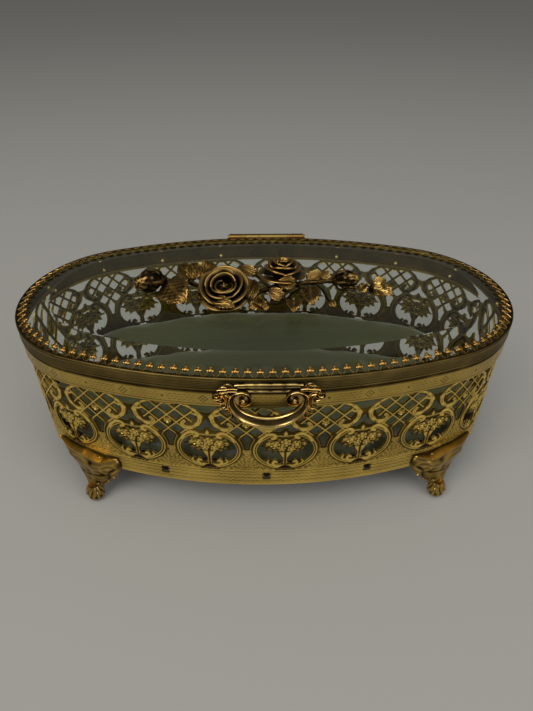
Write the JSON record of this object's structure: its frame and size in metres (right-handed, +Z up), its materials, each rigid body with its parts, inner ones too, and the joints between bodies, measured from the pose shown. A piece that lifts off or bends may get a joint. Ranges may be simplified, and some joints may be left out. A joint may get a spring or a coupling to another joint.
{
  "type": "glass casket box",
  "caption": "Oval gilt brass keepsake casket with pierced urn and lattice walls, a hinged bevelled glass lid with a cast rose spray, and a satin padded floor.",
  "frame": {"origin": "floor level under the feet, at the middle of the object's box in plan", "axes": "+X along the length to the right as seen from the pull, -Y towards the front with the pull, +Z up"},
  "size_m": [0.24, 0.1402, 0.1044],
  "materials": {
    "stamped_brass": "satin stamped gilt brass",
    "gilt_brass": "cast gilt brass with darker recesses",
    "dark_brass": "worn ridged band",
    "antique_brass": "antique cast brass with bright edges",
    "bright_brass": "bright gilt brass",
    "plain_brass": "plain brass",
    "glass": "clear bevelled glass",
    "green_satin": "grey-green satin",
    "card": "stiff card"
  },
  "bodies": {
    "base": {"wall_front": "stamped_brass", "wall_back": "stamped_brass", "wall_left": "stamped_brass", "wall_right": "stamped_brass", "top_hoop": "stamped_brass", "base_plate": "plain_brass", "pad_board": "card", "base_pad": "green_satin", "foot_front_left": "gilt_brass", "foot_front_right": "gilt_brass", "foot_back_left": "gilt_brass", "foot_back_right": "gilt_brass", "foot_rivets": "gilt_brass", "hinge_body_leaf": "antique_brass", "hinge_pin": "plain_brass", "hinge_body_rivets": "gilt_brass"},
    "lid": {"lid_rim": "dark_brass", "lid_gallery": "bright_brass", "lid_glass": "glass", "hinge_lid_leaf": "antique_brass", "hinge_lid_rivets": "gilt_brass", "front_pull": "antique_brass", "pull_rivets": "gilt_brass", "spray_branch": "gilt_brass", "large_rose": "gilt_brass", "half_rose": "gilt_brass", "left_bud": "gilt_brass", "right_bud": "gilt_brass", "leaves_left": "gilt_brass", "leaves_middle": "gilt_brass", "leaves_right": "bright_brass", "spray_washers": "plain_brass", "spray_nuts": "plain_brass"}
  },
  "joints": [
    {"name": "lid_hinge", "type": "hinge", "parent": "base", "child": "lid", "pos_m": [0.0015, 0.06738, 0.0866], "axis": [-1, 0, 0], "range_deg": [0, 100]}
  ]
}
